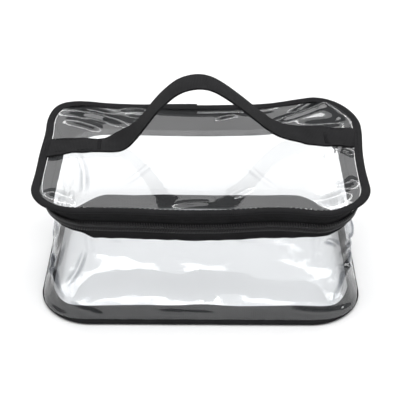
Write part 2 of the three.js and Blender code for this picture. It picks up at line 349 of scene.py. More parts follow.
def mark_folds(sheet, relief, u_step, v_step):
    """Notes on a shell, for its material, how steeply its relief climbs at each point, from 0 to 1."""
    slope = np.hypot(np.gradient(relief, axis=0) / u_step, np.gradient(relief, axis=1) / v_step)
    fold = smooth((slope - 0.12) / 0.6).ravel()
    attribute = sheet.data.attributes.new("fold", "FLOAT", "POINT")
    attribute.data.foreach_set("value", np.concatenate([fold, fold]).astype(np.float32))


def rings_along(path, radii, sides):
    """Rings of points about a path, with the frame carried along it so that it doesn't twist."""
    path = np.asarray(path, float)
    tangents = np.gradient(path, axis=0)
    tangents /= np.linalg.norm(tangents, axis=1, keepdims=True)
    aside = np.cross(tangents[0], [0.31, 0.52, 0.79])
    angles = np.linspace(0, 2 * math.pi, sides, endpoint=False)
    rings = []
    for point, tangent, radius in zip(path, tangents, np.broadcast_to(radii, len(path))):
        aside = aside - tangent * aside.dot(tangent)
        aside /= np.linalg.norm(aside)
        other = np.cross(tangent, aside)
        rings.append(point + radius * (np.outer(np.cos(angles), aside) + np.outer(np.sin(angles), other)))
    return np.array(rings)


def tube_parts(path, radii, sides=8, closed=False):
    """Vertices, faces and UVs of a round wire along a path. An open one has capped ends."""
    rings = rings_along(path, radii, sides)
    count = len(rings)
    row, column = quads(count if closed else count - 1, sides)
    index = (row % count) * sides + column % sides
    length = running_length(rings, closed)
    round_it = np.arange(sides + 1) * 2 * math.pi * np.mean(radii) / sides
    faces = index[:, ::-1].tolist()
    uvs = np.stack([length[row], round_it[column]], axis=-1)[:, ::-1].reshape(-1, 2)
    if not closed:
        faces += [list(range(sides)), list(range((count - 1) * sides, count * sides))[::-1]]
        uvs = np.concatenate([uvs, np.zeros((2 * sides, 2))])
    return rings.reshape(-1, 3), faces, uvs


def tube(name, path, radii, material, sides=8, closed=False):
    return mesh_object(name, *tube_parts(path, radii, sides, closed), material, sharp=60)


Placing = namedtuple("Placing", "origin along out up")


def copies(name, parts, placing, material):
    """One small shape set down at many places. Its own axes are along, out and up."""
    vertices, faces, uvs = parts
    axes = np.stack([placing.along, placing.out, placing.up], axis=1)
    placed = np.einsum("vk,nkj->nvj", vertices, axes) + placing.origin[:, None]
    count = len(vertices)
    all_faces = [[corner + n * count for corner in face] for n in range(len(placed)) for face in faces]
    return mesh_object(name, placed.reshape(-1, 3), all_faces, np.tile(uvs, (len(placed), 1)), material, 60)


def placed_on(surface, turns, heights):
    """Frames on a surface(course, z): along the lap, out of the surface, and up it."""
    course = lap(turns)
    heights = np.broadcast_to(np.ravel(heights), len(course.turn)).reshape(-1, 1)
    step = 0.25
    origin = surface(course, heights)[:, 0]
    ahead = surface(lap(course.turn + step / PERIMETER), heights)[:, 0] - origin
    above = surface(course, heights + step)[:, 0] - origin
    along = ahead / np.linalg.norm(ahead, axis=1, keepdims=True)
    out = np.cross(along, above)
    out /= np.linalg.norm(out, axis=1, keepdims=True)
    return Placing(origin, along, out, np.cross(out, along))


def finish(thing, body, slot, *nodes):
    """Sets a piece on its body and hides the CAD nodes it stands for. The slot is not used."""
    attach(thing, body)
    if nodes:
        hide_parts(*nodes)
    return thing


# ---------------------------------------------------------------- materials


class Nodes:
    """A short way to write a node tree."""

    def __init__(self, name):
        self.material = bpy.data.materials.new(name)
        self.material.use_nodes = True
        self.tree = self.material.node_tree
        self.tree.nodes.clear()

    def add(self, kind, settings=None, **inputs):
        node = self.tree.nodes.new(kind)
        for key, value in (settings or {}).items():
            setattr(node, key, value)
        for key, value in inputs.items():
            socket = node.inputs[int(key[1:]) if key[1:].isdigit() else key.replace("_", " ")]
            if isinstance(value, bpy.types.NodeSocket):
                self.tree.links.new(value, socket)
            else:
                socket.default_value = value
        return node

    def maths(self, operation, *values):
        inputs = {f"i{n}": value for n, value in enumerate(values)}
        return self.add("ShaderNodeMath", {"operation": operation}, **inputs).outputs[0]

    def output(self, shader):
        self.add("ShaderNodeOutputMaterial", Surface=shader)
        return self.material


def cool_grey(level):
    return (level, level * 0.99, level * 1.06, 1)


def ribs(nodes, coordinate, pitch):
    """A wave from 0 to 1 that repeats every pitch millimetres."""
    phase = nodes.maths("MULTIPLY", coordinate, 2 * math.pi / (pitch * MM))
    return nodes.maths("MULTIPLY_ADD", nodes.maths("SINE", phase), 0.5, 0.5)


def woven(name, level, along_pitch, across_pitch, depth, fuzz=0.02):
    """Cloth: ribs both ways from the UVs, with worn and dusty patches."""
    nodes = Nodes(name)
    place = nodes.add("ShaderNodeUVMap", {"uv_map": "UVMap"}).outputs[0]
    axes = nodes.add("ShaderNodeSeparateXYZ", Vector=place)
    weft = ribs(nodes, axes.outputs[0], along_pitch)
    warp = ribs(nodes, axes.outputs[1], across_pitch)
    weave = nodes.maths("MULTIPLY_ADD", weft, 0.65, nodes.maths("MULTIPLY", warp, 0.35))
    patches = nodes.add("ShaderNodeTexNoise", Vector=place, Scale=90.0, Detail=3.0, Roughness=0.6).outputs[0]
    fibre = nodes.add("ShaderNodeTexNoise", Vector=place, Scale=4200.0, Detail=2.0).outputs[0]
    shade = nodes.maths("MULTIPLY_ADD", weave, 0.5, nodes.maths("MULTIPLY", patches, 0.5))
    ramp = nodes.add("ShaderNodeValToRGB", Fac=shade)
    ramp.color_ramp.elements[0].position = 0.2
    ramp.color_ramp.elements[0].color = cool_grey(level * 0.45)
    ramp.color_ramp.elements[1].position = 0.8
    ramp.color_ramp.elements[1].color = cool_grey(level * 1.5)
    height = nodes.maths("MULTIPLY_ADD", fibre, 0.3, weave)
    bump = nodes.add("ShaderNodeBump", Strength=0.8, Distance=depth * MM, Height=height).outputs[0]
    shader = nodes.add(
        "ShaderNodeBsdfPrincipled",
        Base_Color=ramp.outputs[0],
        Roughness=0.85,
        Specular_IOR_Level=0.15,
        Sheen_Weight=fuzz,
        Sheen_Roughness=0.4,
        Normal=bump,
    )
    return nodes.output(shader.outputs[0])


def glossy_black(name, level, roughness, grain, depth, metallic=0.0):
    """Moulded nylon or enamelled metal, with fine scuffs."""
    nodes = Nodes(name)
    place = nodes.add("ShaderNodeTexCoord").outputs["Object"]
    noise = nodes.add("ShaderNodeTexNoise", Vector=place, Scale=grain, Detail=4.0, Roughness=0.65)
    scuffs = noise.outputs[0]
    ramp = nodes.add("ShaderNodeValToRGB", Fac=scuffs)
    ramp.color_ramp.elements[0].position = 0.35
    ramp.color_ramp.elements[0].color = cool_grey(level * 0.75)
    ramp.color_ramp.elements[1].position = 0.7
    ramp.color_ramp.elements[1].color = cool_grey(level * 1.3)
    rough = nodes.maths("MULTIPLY_ADD", scuffs, 0.2, roughness - 0.1)
    bump = nodes.add("ShaderNodeBump", Strength=0.5, Distance=depth * MM, Height=scuffs).outputs[0]
    shader = nodes.add(
        "ShaderNodeBsdfPrincipled",
        Base_Color=ramp.outputs[0],
        Roughness=rough,
        Metallic=metallic,
        Normal=bump,
    )
    return nodes.output(shader.outputs[0])


def clear_vinyl():
    """Soft clear PVC. It lets light by, with painted shade greying it where it is folded, and mirrors it on
    its near face.
    """
    nodes = Nodes("clear_vinyl")
    place = nodes.add("ShaderNodeTexCoord").outputs["Object"]
    waves = nodes.add("ShaderNodeTexNoise", Vector=place, Scale=38.0, Detail=2.0, Roughness=0.45).outputs[0]
    bump = nodes.add("ShaderNodeBump", Strength=0.35, Distance=0.6 * MM, Height=waves).outputs[0]
    backfacing = nodes.add("ShaderNodeNewGeometry").outputs["Backfacing"]
    fresnel = nodes.add("ShaderNodeFresnel", IOR=1.65, Normal=bump).outputs[0]
    share = nodes.maths("MULTIPLY", fresnel, nodes.maths("SUBTRACT", 1.0, backfacing))
    # Painted shade: the see-through colour goes grey where the sheet is steeply folded, standing in for the
    # shade that light bent through a fold would give.
    fold = nodes.add("ShaderNodeAttribute", {"attribute_name": "fold"}).outputs["Fac"]
    clear = (0.984, 0.987, 0.99, 1)
    painted_fold_shade = (0.7, 0.71, 0.73, 1)
    tint = nodes.add("ShaderNodeMix", {"data_type": "RGBA"}, i0=fold, i6=clear, i7=painted_fold_shade)
    through = nodes.add("ShaderNodeBsdfTransparent", Color=tint.outputs[2]).outputs[0]
    smear = nodes.add("ShaderNodeTexNoise", Vector=place, Scale=14.0, Detail=5.0, Roughness=0.7).outputs[0]
    haze_share = nodes.maths("MULTIPLY", smear, 0.035)
    haze = nodes.add("ShaderNodeBsdfDiffuse", Color=(0.8, 0.82, 0.84, 1)).outputs[0]
    body = nodes.add("ShaderNodeMixShader", i0=haze_share, i1=through, i2=haze).outputs[0]
    mirror = nodes.add("ShaderNodeBsdfGlossy", Color=(1, 1, 1, 1), Roughness=0.045, Normal=bump).outputs[0]
    mixed = nodes.add("ShaderNodeMixShader", i0=share, i1=body, i2=mirror).outputs[0]
    return nodes.output(mixed)


VINYL = clear_vinyl()
BINDING = woven("binding_tape", 0.014, 1.2, 0.45, 0.12)
ZIP_TAPE = woven("zip_tape", 0.015, 0.8, 0.8, 0.06)
HINGE_CLOTH = woven("hinge_cloth", 0.014, 0.9, 0.9, 0.02)
WEBBING = woven("webbing", 0.014, 1.0, 0.62, 0.1)
THREAD = woven("thread", 0.016, 0.5, 0.5, 0.03)
COIL = glossy_black("coil_nylon", 0.02, 0.34, 900.0, 0.02)
METAL = glossy_black("black_metal", 0.03, 0.3, 260.0, 0.02, 0.6)

# ---------------------------------------------------------------- the tub

LEFT_CORNER_CREASES = [
    Crease((-152, 64), (-84, 5), 5, 2.6, 1.7),
    Crease((-124, 68), (-104, 12), -4, 2.2, -1.5),
    Crease((-94, 64), (-113, 14), 3, 2.0, 1.2),
    Crease((-138, 44), (-92, 26), 3, 1.8, -1.1),
    Crease((-76, 62), (-92, 22), 2, 1.8, 0.9),
    Crease((-146, 34), (-116, 6), -3, 2.2, 1.2),
    Crease((-90, 14), (-58, 5), 2, 1.6, 0.8),
]
RIGHT_CORNER_CREASES = [
    Crease((122, 69), (96, 44), 3, 2.0, 1.6),
    Crease((134, 56), (84, 7), -6, 2.6, 1.6),
    Crease((102, 66), (114, 16), 4, 2.0, -1.4),
    Crease((90, 40), (124, 12), 4, 1.8, 1.1),
    Crease((144, 64), (128, 8), -3, 2.6, 1.4),
    Crease((52, 13), (104, 4), 2, 1.8, 0.9),
    Crease((80, 66), (100, 50), 2, 1.8, -1.0),
]
PLAIN_CREASES = [
    Crease((-50, 10), (30, 7), 1, 2.4, 0.5),
    Crease((-66, 66), (-40, 48), 3, 3.0, 0.5),
    Crease((10, 67), (52, 52), 3, 3.2, 0.5),
    Crease((166, 42), (176, 12), 4, 3.4, 1.2),
    Crease((-172, 60), (-164, 10), -4, 3.4, 1.1),
    Crease((204, 66), (214, 8), 5, 3.0, 1.3),
    Crease((-206, 66), (-218, 8), -5, 3.0, 1.3),
    Crease((286, 60), (240, 10), 4, 3.2, 0.8),
    Crease((-282, 62), (-236, 14), -5, 3.2, 0.8),
]


def near_corners(course):
    """1 at the middle of each rounded corner, 0 on the straights."""
    return 4 * (course.cos * course.sin) ** 2


def wall_offset(course, z):
    """How far the clear wall stands out from the tub's outline: bulges, folds and puckers."""
    distance = from_front(course)
    up = np.clip((z - 4) / 64, 0, 1)
    belly = np.sin(math.pi * up)
    corner = near_corners(course)
    right_side = np.clip(course.cos, 0, 1) ** 2 * (1 - corner)
    bulge = belly * (0.3 + 1.6 * right_side * smooth((54 - z) / 14))
    folds = 1.35 * creased(distance, z, LEFT_CORNER_CREASES + RIGHT_CORNER_CREASES + PLAIN_CREASES)
    waves = crumple(distance, z * 0.6, 26, 3) * (0.5 + 1.0 * corner) * np.sqrt(belly)
    fine = crumple(distance, z * 0.5, 9, 5) * (0.08 + 0.4 * corner) * np.sqrt(belly)
    pucker = 0.35 * ripple(distance, [PERIMETER / 37, PERIMETER / 53, PERIMETER / 71], 2)
    gathers = pucker * np.exp(-(((71 - z) / 7) ** 2)) + 0.7 * pucker * np.exp(-(((z - 9) / 6) ** 2))
    right_blister = 3.2 * hill(distance, 108, 18) * hill(z, 59, 8)
    left_blister = 1.6 * hill(distance, -112, 14) * hill(z, 60, 6)
    held = smooth(up / 0.05) * smooth((1 - up) / 0.08)
    return WALL_OFFSET + bulge + right_blister + left_blister + folds * held + waves + fine + gathers


def build_wall():
    """The clear wall, from inside the seam at the base up to behind the zip tape."""
    course = lap(np.arange(900) / 900)
    z = np.concatenate([np.linspace(SEAM_TOP, SEAM_TOP + 2, 8), np.linspace(SEAM_TOP + 2.6, 71.8, 98)])
    skirt = 1.8 * near_corners(course) * np.exp(-(((z - SEAM_TOP) / 4) ** 2))
    turned_under = 0.7 * np.exp(-((z - SEAM_TOP) / 0.5))
    settled = smooth(z / 5)
    relief = wall_offset(course, z)
    offset = relief * settled + WALL_OFFSET * (1 - settled) + skirt - turned_under
    wall = shell("wall_vinyl", tub_skin(course, offset, z), VINYL_THICKNESS, VINYL, closed=True)
    mark_folds(wall, relief, PERIMETER / len(course.turn), np.gradient(z))
    finish(wall, "tub", "clear_vinyl", "wall_panel")


def plate_grid(outline, inset, columns, straight_rows, corner_rows):
    """A grid over a rounded rectangle, in X and Y."""
    half_length, half_depth, corner = outline
    radius = corner - inset
    bend = np.linspace(0, math.pi / 2, corner_rows)
    reach = half_depth - corner + radius * np.sin(bend)
    straight = np.linspace(-(half_depth - corner), half_depth - corner, straight_rows)[1:-1]
    y = np.concatenate([-reach[::-1], straight, reach])
    past = np.clip(np.abs(y) - (half_depth - corner), 0, radius)
    edge = half_length - corner + np.sqrt(radius**2 - past**2)
    x = np.linspace(-1, 1, columns).reshape(-1, 1) * edge
    return x, np.broadcast_to(y, x.shape)


def build_base():
    """The clear base, lying on the table, with its edge turned up into the seam."""
    x, y = plate_grid(tub_outline(0), BASE_INSET, 150, 60, 16)
    half_length, half_depth, corner = tub_outline(0)
    past_x = np.clip(np.abs(x) - half_length + corner, 0, None)
    past_y = np.clip(np.abs(y) - half_depth + corner, 0, None)
    from_edge = corner - np.where(past_x * past_y > 0, np.hypot(past_x, past_y), np.maximum(past_x, past_y))
    swell = (0.6 * (1 + crumple(x, y, 70, 11)) + 0.05 * crumple(x, y, 24, 12)) * smooth(from_edge / 18)
    z = 0.3 + swell + 0.35 * np.exp(-(from_edge - BASE_INSET) / 1.5)
    base = shell("base_vinyl", np.stack([x, y, z], axis=-1), VINYL_THICKNESS, VINYL)
    finish(base, "tub", "clear_vinyl", "bottom_panel")


def spline(points, count):
    """A smooth line through a few points."""
    points = np.asarray(points, float)
    ends = np.concatenate([[2 * points[0] - points[1]], points, [2 * points[-1] - points[-2]]])
    place = np.linspace(0, len(points) - 1, count)
    index = np.minimum(place.astype(int), len(points) - 2)
    t = (place - index).reshape(-1, 1)
    a, b, c, d = (ends[index + n] for n in range(4))
    return 0.5 * (2 * b + (c - a) * t + (2 * a - 5 * b + 4 * c - d) * t**2 + (3 * b - a - 3 * c + d) * t**3)


def seam_lean(course, rise):
    """How far the folded tape leans in, which is more at the corners. rise is 1 at its top."""
    return (0.6 + 1.4 * near_corners(course)) * rise


def seam_height(course, z):
    """The folded tape stands lower at the corners."""
    return z * (1 - 0.36 * near_corners(course) * smooth((z - 4) / 6))


def base_binding_surface(course, section):
    offset, z = section[:, 0], section[:, 1]
    distance = from_front(course)
    rise = np.clip(z / SEAM_TAPE_TOP, 0, 1)
    wander = 0.5 * ripple(distance, [PERIMETER / 5, PERIMETER / 11, PERIMETER / 19], 21) * rise
    tall = 0.5 * ripple(distance, [PERIMETER / 7, PERIMETER / 13], 22) * rise
    return tub_skin(course, offset - seam_lean(course, rise) + wander, seam_height(course, z) + tall)


def base_binding_inner_face(course, z):
    offset = np.full(z.shape, -4.6)
    return tub_skin(course, offset - seam_lean(course, z / SEAM_TAPE_TOP), seam_height(course, z))


def build_base_binding():
    """Tape folded over the turned-in edges of the wall and the base."""
    section = spline(
        [
            (-3.0, 0.55), (-1.2, 0.5), (-0.1, 1.1), (0.25, 2.3), (-0.4, 3.5), (-1.6, 4.3), (-2.0, 6.0),
            (-2.0, 8.5), (-2.3, 11.2), (-3.1, 12.2), (-4.0, 11.2), (-4.2, 8.5), (-4.6, 5.5), (-5.4, 3.2),
            (-6.2, 1.5),
        ],
        44,
    )
    course = lap(np.arange(420) / 420)
    tape = shell("base_binding_tape", base_binding_surface(course, section), 0.6, BINDING, closed=True)
    finish(tape, "tub", "binding_tape", "base_binding")
    turns = np.arange(0, 1, STITCH_PITCH / PERIMETER)
    stitch_row("base_binding_stitches", base_binding_inner_face, turns, 8.6, "tub", flip=True)


def stitch():
    """One lockstitch, with its ends dipping into the cloth."""
    path = [(-1.05, -0.15, 0), (-0.8, 0.1, 0), (0, 0.17, 0), (0.8, 0.1, 0), (1.05, -0.15, 0)]
    return tube_parts(path, [0.1, 0.17, 0.18, 0.17, 0.1], 6)


def stitch_row(name, surface, turns, heights, body, flip=False):
    """A row of lockstitches lying along a surface."""
    placing = placed_on(surface, turns, heights)
    if flip:
        placing = placing._replace(out=-placing.out)
    finish(copies(name, stitch(), placing, THREAD), body, "thread")


# ---------------------------------------------------------------- the zip


def zip_turns(end_y, count):
    """Turns from the left side's rear, round the front, to the right side's rear."""
    return np.linspace(0.5 - side_turn(end_y), 1 + side_turn(end_y), count)


def hem(course):
    """How far the lower tape's bottom edge lies above its lowest, on the front."""
    distance = from_front(course)
    left = 3.4 * smooth((-69 - distance) / 8)
    right = 2.6 * smooth((distance - 50) / 28)
    return 1.4 * at_front(course) + left + right + 0.35 * ripple(distance, [31, 17, 12], 31)


def tape_wander(course, z):
    return 0.16 * ripple(from_front(course) + 0.4 * z, [23, 13, 8], 32)


def build_tapes():
    course = lap(zip_turns(TAPE_END_Y, 560))
    share = np.linspace(0, 1, 16)
    low = 66 + hem(course)
    split = split_height(course)
    z = low + (split - TAPE_GAP - low) * share
    welt = 0.5 * hill(share, 0.12, 0.1)
    points = tub_skin(course, TAPE_MIDDLE + welt + tape_wander(course, z) * (1 - share) ** 0.5, z)
    lower = shell("lower_zip_tape_cloth", points, TAPE_THICKNESS, ZIP_TAPE)
    finish(lower, "tub", "zip_tape", "lower_zip_tape")
    z = split + TAPE_GAP + (BAND_HEAD - split - TAPE_GAP) * share
    loose = smooth(3 * share) * smooth(3 - 3 * share)
    points = tub_skin(course, TAPE_MIDDLE + tape_wander(course, z) * loose, z)
    upper = shell("upper_zip_tape_cloth", points, TAPE_THICKNESS, ZIP_TAPE)
    finish(upper, "lid", "zip_tape", "upper_zip_tape")


def tape_face(course, z):
    return tub_skin(course, TAPE_FACE + 0.05, z)


def hemmed_face(course, z):
    """The lower tape's face near its hem, whose bottom edge isn't level."""
    return tub_skin(course, TAPE_FACE + 0.42, z + hem(course))


def tooth(direction):
    """One turn of the coil, from its sewn edge over to its head and back under."""
    path = spline(
        [
            (-0.5, 0.35, -2.9), (-0.55, 1.0, -3.4), (-0.4, 1.6, -2.9), (-0.02, 1.8, -1.6),
            (0.34, 1.6, -0.4), (0.42, 1.0, 0.35), (0.42, 0.4, -0.3),
        ],
        12,
    )
    radii = 0.34 + 0.02 * hill(np.arange(12), 8.5, 1.6)
    path[:, 2] *= direction
    return tube_parts(path, radii, 6)


def build_coil(row, direction, body, node):
    """A row of teeth, the cord inside it and the thread that sews it down."""
    length = 2 * side_turn(ZIP_END_Y) + 0.5
    count = int(length * PERIMETER / TOOTH_PITCH)
    turns = zip_turns(ZIP_END_Y, count)
    if direction < 0:
        turns = turns[:-1] + (turns[1] - turns[0]) / 2
    placing = placed_on(tape_face, turns, split_height(lap(turns)))
    finish(copies(f"{row}_coil_teeth", tooth(direction), placing, COIL), body, "zip_coil", node)
    fine = lap(zip_turns(ZIP_END_Y, 4 * count))
    swell = 0.12 * np.cos(2 * math.pi * np.arange(4 * count) / 4).reshape(-1, 1)
    line = tub_skin(fine, TAPE_FACE + 2.08 + swell, split_height(fine) - direction * 1.7)[:, 0]
    finish(tube(f"{row}_coil_thread", line, 0.13, THREAD, 5), body, "thread")
    core = tub_skin(fine, TAPE_FACE + 0.85, split_height(fine) - direction * 1.35)[:, 0]
    finish(tube(f"{row}_coil_core", core, 0.48, THREAD, 7), body, "thread")


def build_zip():
    build_tapes()
    build_coil("lower", 1, "tub", "lower_zip_coil")
    build_coil("upper", -1, "lid", "upper_zip_coil")
    turns = zip_turns(TAPE_END_Y - 2, int(0.62 * PERIMETER / STITCH_PITCH))
    stitch_row("lower_tape_stitches", hemmed_face, turns, 67.3, "tub")
    stitch_row("upper_tape_stitches", tape_face, turns, 84.4, "lid")


def build_hinge_band():
    """Plain cloth across the back, which joins the lid to the tub."""
    start = side_turn(TAPE_END_Y - 1.6)
    course = lap(np.linspace(start, 0.5 - start, 320))
    share = np.linspace(0, 1, 18)
    z = 66.4 + (HINGE_LINE - 66.5) * share
    from_end = PERIMETER * np.minimum(course.turn - start, 0.5 - start - course.turn)
    tucked = 1 - smooth((from_end - 1.9) / 1.2)
    sag = 0.5 * np.sin(math.pi * share) * ripple(course.distance, [61, 37, 19], 41) * smooth(from_end / 8)
    points = tub_skin(course, TAPE_MIDDLE + sag - tucked, z)
    finish(shell("hinge_band_cloth", points, 0.7, HINGE_CLOTH), "tub", "zip_tape", "hinge_band")
    points = tub_skin(course, TAPE_MIDDLE - tucked, HINGE_LINE + (BAND_HEAD - HINGE_LINE) * share[::4])
    finish(shell("hinge_band_head", points, 0.7, HINGE_CLOTH), "lid", "zip_tape")
    turns = np.arange(start + 0.008, 0.492 - start, STITCH_PITCH / PERIMETER)
    stitch_row("hinge_band_stitches", tape_face, turns, 68.0, "tub")


# ---------------------------------------------------------------- the lid

LID_CREASES = [
    Crease((-64, 61), (-34, 60), 3.0, 2.6, 1.2),
    Crease((-58, 55), (-36, 53), -1.5, 2.2, -0.8),
    Crease((-104, 56), (-46, 38), 4.5, 4.2, 1.9),
    Crease((-100, 46), (-68, 30), 3, 3.4, 1.1),
    Crease((-84, 50), (-66, 42), 2.4, 2.2, -1.5),
    Crease((-100, 64), (-56, 52), 2, 3.4, -1.2),
    Crease((48, 44), (94, 66), -3, 2.8, 1.9),
    Crease((60, 52), (88, 70), -1, 2.0, -1.2),
    Crease((80, 68), (104, 34), 4, 4.2, 1.5),
    Crease((66, 38), (104, 46), -3, 3.6, -1.2),
    Crease((8, 50), (30, 58), 1.5, 2.4, 0.8),
    Crease((-60, 64), (70, 62), -2, 3.6, -0.8),
    Crease((84, 20), (106, 16), 1, 2.0, 0.9),
    Crease((92, 8), (104, -2), 2, 2.0, -1.0),
    Crease((88, -40), (102, -26), -2, 3.0, 1.2),
    Crease((72, -56), (98, -40), -3, 3.4, 1.1),
    Crease((20, -52), (36, -38), 1, 2.0, 0.6),
    Crease((-80, -62), (-82, -44), 1, 1.6, 0.7),
    Crease((-102, -44), (-82, -58), 2, 3.0, 1.2),
    Crease((-104, 10), (-84, -6), 3, 3.0, 1.0),
    Crease((-20, -60), (10, -56), 2, 2.6, 0.5),
]


def strap_middle(x):
    return HANDLE_Y + math.tan(HANDLE_SKEW) * x


def under_strap(x, y):
    """1 where a sewn-down strap end presses the lid flat, 0 away from it."""
    return np.exp(-(((y - strap_middle(x)) / 13.5) ** 6)) * smooth((np.abs(x + 5) - 46) / 10)


def lid_height(x, y):
    """The clear lid at rest: slack in the middle, held at its edges, creased towards its corners."""
    half_length, half_depth = LID_OUTLINE[:2]
    slack = (1 - (x / half_length) ** 2) * (1 - (y / half_depth) ** 2)
    waves = 0.7 * crumple(x, y, 70, 51) * np.clip(slack, 0, 1)
    puckers = 0.4 * crumple(x, y, 32, 52) * (1 - np.clip(slack, 0, 1)) ** 2 * smooth(slack / 0.12)
    relief = waves + puckers + creased(x, y, LID_CREASES)
    return LID_VINYL_Z - 1.0 * slack + relief * (1 - under_strap(x, y))


def build_lid_sheet():
    x, y = plate_grid(LID_OUTLINE, 1.6, 300, 150, 40)
    height = lid_height(x, y)
    points = sway(np.stack([x, y, height], axis=-1))
    lid = shell("lid_vinyl", points, VINYL_THICKNESS, VINYL)
    mark_folds(lid, height, np.gradient(x, axis=0), np.gradient(y, axis=1))
    finish(lid, "lid", "clear_vinyl", "lid_panel")


def binding_section(count):
    """The lid's binding, folded over the panel's edge: offset and height."""
    return spline(
        [
            (-5.3, 90.1), (-4.6, 90.45), (-3.2, 90.85), (-1.6, 90.85), (-0.5, 90.4), (-0.1, 89.6),
            (-0.5, 88.9), (-1.5, 88.45), (-2.6, 88.35), (-3.8, 88.35), (-5.0, 88.4),
        ],
        count,
    )


def over_strap(points):
    """How far the binding's upper leaf is lifted where a strap end is caught under it."""
    x, y = points[..., 0], points[..., 1]
    return 1.7 * np.exp(-(((y - strap_middle(x)) / 11) ** 4))


def build_lid_binding():
    """The tape starts near the middle of the back, runs right round, and ends under its own start."""
    start = BACK + 3 / PERIMETER
    course = lap(np.linspace(start, start + 1 + 8 / PERIMETER, 640))
    section = binding_section(30)
    over = 1 - smooth((course.turn - start) * PERIMETER / 40)
    middle = np.array([-2.8, 89.4])
    outward = (section - middle) * (1 + 0.45 * over[:, :, None])
    distance = from_front(course)
    press = 1 + 0.05 * ripple(distance, [PERIMETER / 60, PERIMETER / 83, PERIMETER / 139], 61)
    narrowed = 1.0 * at_front(course) * (section[:, 0] < -2) * (section[:, 1] > 89.4)
    wander = 0.25 * ripple(distance, [PERIMETER / 9, PERIMETER / 14], 62)
    offset = middle[0] + outward[..., 0] + narrowed + wander
    z = middle[1] + outward[..., 1] * press
    points = skin(course, LID_OUTLINE, offset, z)
    share = np.linspace(0, 1, 30)
    points[..., 2] += over_strap(points) * smooth((0.32 - share) / 0.2)
    tape = tub_skin(course, TAPE_FACE + 0.35, 88.2 + 0 * z)
    under = smooth((share - 0.66) / 0.34)[:, None]
    points = points + (tape - points) * under
    finish(shell("lid_binding_tape", points, 0.65, BINDING), "lid", "binding_tape", "lid_binding")
    stitch_row("lid_binding_stitches", slanted_top, np.arange(0, 1, 2.9 / PERIMETER), 0.0, "lid")


def slanted_top(course, z):
    """The top of the lid's binding, near its inner edge. z counts inward from the row of stitches."""
    points = skin(course, LID_OUTLINE, -3.4 - z, 91.05 - 0.33 * z)
    points[..., 2] += over_strap(points)
    return points


# ---------------------------------------------------------------- the handle

# The strap's line from the left end, over the crown, to the right end: X along it and Z.
STRAP_LINE = [
    (-105.2, 90.9), (-98, 91.0), (-92, 91.1), (-82, 91.1), (-73, 91.0), (-66, 91.1), (-59, 92.2),
    (-52, 95.6), (-45, 102.2), (-38, 110.8), (-31, 120.2), (-24, 128), (-17, 133.8), (-10.7, 137),
    (-4, 138.5), (2.6, 138), (9.3, 135.4), (16, 131), (22.8, 125.5), (29.7, 119.6), (36.7, 113.2),
    (43.7, 106.9), (50.8, 101.6), (58, 97.6), (65, 94.7), (72, 92.6), (80, 91.2), (90, 91.1),
    (98, 91.0), (105.2, 90.9),
]


def strap_tilt(x):
    """How far the strap's rear edge stands above its middle."""
    return 0.9 * smooth((x - 62) / 14) - 1.2 * hill(x, -72, 16)


def strap_points(low, high, count):
    """Part of the strap's middle surface, in its own frame: X along it and Y across."""
    line = spline(STRAP_LINE, 1600)
    keep = line[(line[:, 0] >= low) & (line[:, 0] <= high)]
    step = np.concatenate([[0], np.cumsum(np.hypot(*np.diff(keep, axis=0).T))])
    even = np.linspace(0, step[-1], count)
    x = np.interp(even, step, keep[:, 0]).reshape(-1, 1)
    across = np.linspace(-1, 1, 15)
    fold_skew = 6.0 * hill(x, -60, 11) * across
    z = np.interp(x + fold_skew, line[:, 0], line[:, 1])
    lying = smooth((np.abs(x + 5) - 66) / 10)
    edge_lift = 0.5 * lying * ripple(x, [27, 15], 71) * across
    drawn_forward = 2.5 * smooth((-x - 88) / 16) * np.clip(-across, 0, 1)
    y = across * WEBBING_WIDTH / 2 + 0.25 * ripple(x, [33, 19], 72) - drawn_forward
    z = z + edge_lift + strap_tilt(x) * across - 0.35 * (across**2) * (1 - lying)
    return np.stack(np.broadcast_arrays(x, y, z), axis=-1)


def onto_lid(points):
    """From the strap's frame to the bag's, with the lying parts following the slumped lid."""
    cos, sin = math.cos(HANDLE_SKEW), math.sin(HANDLE_SKEW)
    turn = np.array([[cos, sin], [-sin, cos]])
    flat = points[..., :2] @ turn + [0, HANDLE_Y]
    placed = np.concatenate([flat, points[..., 2:]], axis=-1)
    lying = 1 - smooth((points[..., 2:] - 93) / 10)
    return placed + (sway(placed) - placed) * lying


def build_strap(side, low, high, nodes):
    points = onto_lid(strap_points(low, high, 260))
    strap = shell(f"handle_{side}_webbing", points, WEBBING_THICKNESS, WEBBING)
    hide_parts(*nodes)
    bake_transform(strap)


def build_bartack(side, x):
    """A dense zigzag of thread that holds the strap down."""
    turns = np.arange(44)
    along = x + np.where(turns % 2, 1.1, -1.1)
    across = np.linspace(-8, 8, len(turns))
    line = np.stack([along, across, STRAP_LIE + 0.64 + strap_tilt(along) * across / 10], axis=-1)
    zigzag = spline(onto_lid(line), 5 * len(turns))
    finish(tube(f"bartack_{side}", zigzag, 0.2, THREAD, 6), "lid", "thread", f"handle_bartack_{side}")


def build_edge_stitches(side, low, high):
    """Two rows of stitches that hold the strap's lying end to the lid."""
    x = np.arange(low, high, STITCH_PITCH)
    across = np.repeat([-8.0, 8.0], len(x))
    x = np.tile(x, 2)
    height = STRAP_LIE + 0.72 + strap_tilt(x) * across / 10
    origin = onto_lid(np.stack([x, across, height], axis=-1))
    ahead = onto_lid(np.stack([x + 0.5, across, height], axis=-1)) - origin
    along = ahead / np.linalg.norm(ahead, axis=1, keepdims=True)
    out = np.tile([0.0, 0.0, 1.0], (len(x), 1))
    placing = Placing(origin, along, out, np.cross(out, along))
    finish(copies(f"handle_{side}_stitches", stitch(), placing, THREAD), "lid", "thread")


def build_handle():
    build_strap("left", -105.2, CROWN_X, ["handle_left_end", "handle_loop"])
    build_strap("right", CROWN_X, 105.2, ["handle_right_end", "handle_loop"])
    build_bartack("left", -70)
    build_bartack("right", 86)
    build_edge_stitches("left", -99, -72)
    build_edge_stitches("right", 88, 100)


